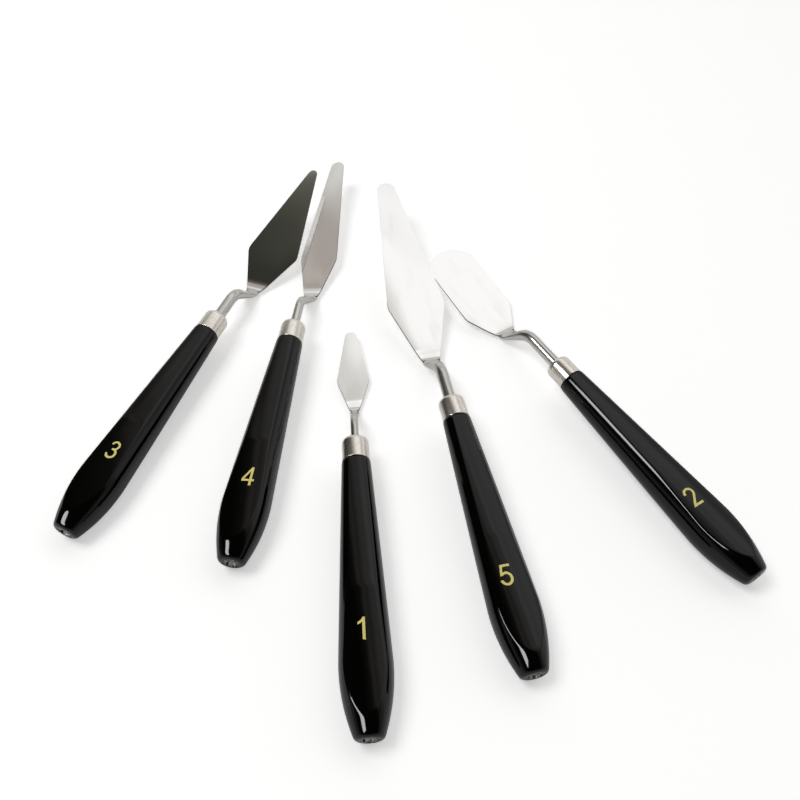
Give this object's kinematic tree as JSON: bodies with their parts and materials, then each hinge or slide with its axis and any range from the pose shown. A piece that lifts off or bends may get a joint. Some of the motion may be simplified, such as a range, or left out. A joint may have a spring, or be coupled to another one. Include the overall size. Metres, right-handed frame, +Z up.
{
  "type": "palette knife set",
  "caption": "Loose set of numbered palette knives: black lacquered handles, plated ferrules, cranked steel shanks and thin steel blades with different outlines.",
  "frame": {"origin": "middle of the set's footprint on the table", "axes": "+Z up from the table, +Y from the handles towards the blades, +X to the right of someone who looks along +Y"},
  "size_m": [0.251, 0.275, 0.0199],
  "materials": {
    "handle_lacquer": "gloss",
    "ferrule_nickel": "satin",
    "shank_steel": "polished",
    "blade_steel": "polished"
  },
  "bodies": {
    "knife_2": {"handle_2": "handle_lacquer", "ferrule_2": "ferrule_nickel", "shank_2": "shank_steel", "blade_2": "blade_steel"},
    "knife_1": {"handle_1": "handle_lacquer", "ferrule_1": "ferrule_nickel", "shank_1": "shank_steel", "blade_1": "blade_steel"},
    "knife_3": {"handle_3": "handle_lacquer", "ferrule_3": "ferrule_nickel", "shank_3": "shank_steel", "blade_3": "blade_steel"},
    "knife_4": {"handle_4": "handle_lacquer", "ferrule_4": "ferrule_nickel", "shank_4": "shank_steel", "blade_4": "blade_steel"},
    "knife_5": {"handle_5": "handle_lacquer", "ferrule_5": "ferrule_nickel", "shank_5": "shank_steel", "blade_5": "blade_steel"}
  },
  "joints": [
    {"name": "lift_1", "type": "slide", "parent": "knife_2", "child": "knife_1", "axis": [0, 0, 1], "range_m": [0, 0.12]},
    {"name": "lift_3", "type": "slide", "parent": "knife_2", "child": "knife_3", "axis": [0, 0, 1], "range_m": [0, 0.12]},
    {"name": "lift_4", "type": "slide", "parent": "knife_2", "child": "knife_4", "axis": [0, 0, 1], "range_m": [0, 0.12]},
    {"name": "lift_5", "type": "slide", "parent": "knife_2", "child": "knife_5", "axis": [0, 0, 1], "range_m": [0, 0.12]}
  ]
}
